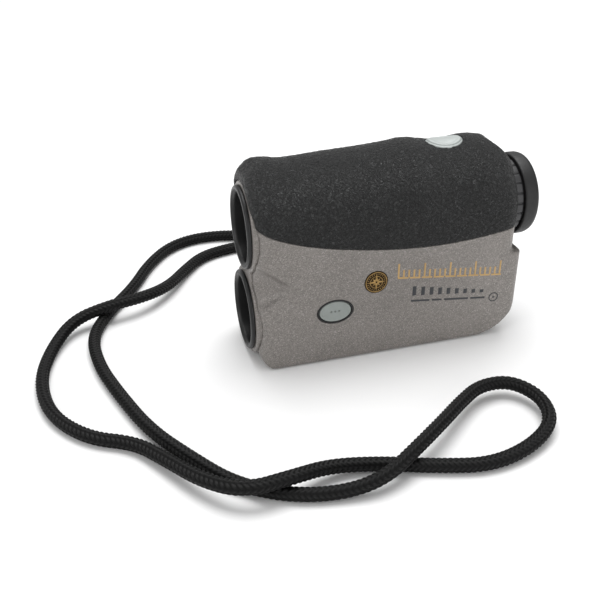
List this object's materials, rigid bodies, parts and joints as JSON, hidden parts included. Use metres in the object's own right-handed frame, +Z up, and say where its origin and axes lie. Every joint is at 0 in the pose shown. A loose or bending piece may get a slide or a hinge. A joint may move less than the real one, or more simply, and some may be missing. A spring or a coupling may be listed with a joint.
{
  "type": "laser rangefinder",
  "caption": "Handheld laser rangefinder with two stacked lenses, rubber-armoured painted body, eyepiece with diopter ring and a braided wrist lanyard.",
  "frame": {"origin": "middle of the flat base under the body, without the lanyard", "axes": "+X from the lenses to the eyepiece, +Z up, -Y towards the side with the mode button"},
  "size_m": [0.164, 0.164, 0.066],
  "materials": {
    "painted_shell": "satin metallic speckle",
    "armor_rubber": "leather grain",
    "ring_satin": "satin black",
    "bore_black": "matte",
    "retainer_black": "black anodised",
    "lens_glass": "coated",
    "prism_glass": "polished",
    "eyecup_rubber": "satin",
    "power_key": "satin",
    "mode_key": "satin",
    "seal_rubber": "matte",
    "badge_metal": "antiqued",
    "bracket_plastic": "matte",
    "clip_steel": "brushed",
    "laser_can": "polished",
    "board_green": "solder mask",
    "chip_black": "matte",
    "battery_wrap": "printed sleeve",
    "door_plastic": "fine grain",
    "ferrule_plastic": "satin",
    "cord_nylon": "braided"
  },
  "bodies": {
    "housing": {"badge_disc": "badge_metal", "battery": "battery_wrap", "battery_spring": "clip_steel", "battery_tube": "bracket_plastic", "board_screws": "clip_steel", "detector": "laser_can", "detector_board": "board_green", "display_glass": "prism_glass", "display_module": "bracket_plastic", "door_hinge_pins": "clip_steel", "door_seal": "seal_rubber", "eyepiece_barrel": "bore_black", "eyepiece_seal": "seal_rubber", "field_lens": "lens_glass", "front_cap": "painted_shell", "lanyard_bar": "clip_steel", "lanyard_cord": "cord_nylon", "lanyard_ferrule": "ferrule_plastic", "lanyard_link": "clip_steel", "laser_module": "laser_can", "lower_lens_ring": "ring_satin", "main_board": "board_green", "main_housing": "painted_shell", "mode_board": "board_green", "mode_gasket": "seal_rubber", "mode_switch": "chip_black", "objective_lens": "lens_glass", "objective_retainer": "retainer_black", "objective_tube": "bore_black", "optics_bracket": "bracket_plastic", "power_board": "board_green", "power_button_seal": "seal_rubber", "power_switch": "chip_black", "prism": "prism_glass", "prism_clip": "clip_steel", "processor": "chip_black", "receiver_lens": "lens_glass", "receiver_retainer": "retainer_black", "receiver_tube": "bore_black", "rubber_armor": "armor_rubber", "upper_lens_ring": "ring_satin"},
    "diopter": {"diopter_ring": "ring_satin", "eyecup": "eyecup_rubber"},
    "eye_cell": {"eye_lens_cell": "bore_black", "eye_lens": "lens_glass"},
    "power_key": {"power_button": "power_key"},
    "mode_key": {"mode_button": "mode_key"},
    "door": {"battery_door": "door_plastic", "door_contact": "clip_steel"}
  },
  "joints": [
    {"name": "power_press", "type": "slide", "parent": "housing", "child": "power_key", "axis": [0, 0, -1], "range_m": [0, 0.0008], "stiffness_N_per_m": 500},
    {"name": "mode_press", "type": "slide", "parent": "housing", "child": "mode_key", "axis": [0, 1, 0], "range_m": [0, 0.0007], "stiffness_N_per_m": 500},
    {"name": "diopter_turn", "type": "hinge", "parent": "housing", "child": "diopter", "pos_m": [0, 0, 0.044], "axis": [1, 0, 0], "range_deg": [-140, 140]},
    {"name": "eye_lens_slide", "type": "slide", "parent": "housing", "child": "eye_cell", "axis": [1, 0, 0], "range_m": [-0.0012, 0.0012]},
    {"name": "door_open", "type": "hinge", "parent": "housing", "child": "door", "pos_m": [0.03865, 0, 0.00745], "axis": [0, 1, 0], "range_deg": [0, 90]}
  ],
  "couplings": [
    {"joint": "eye_lens_slide", "follows": "diopter_turn", "m_per_rad": 0.00049}
  ]
}
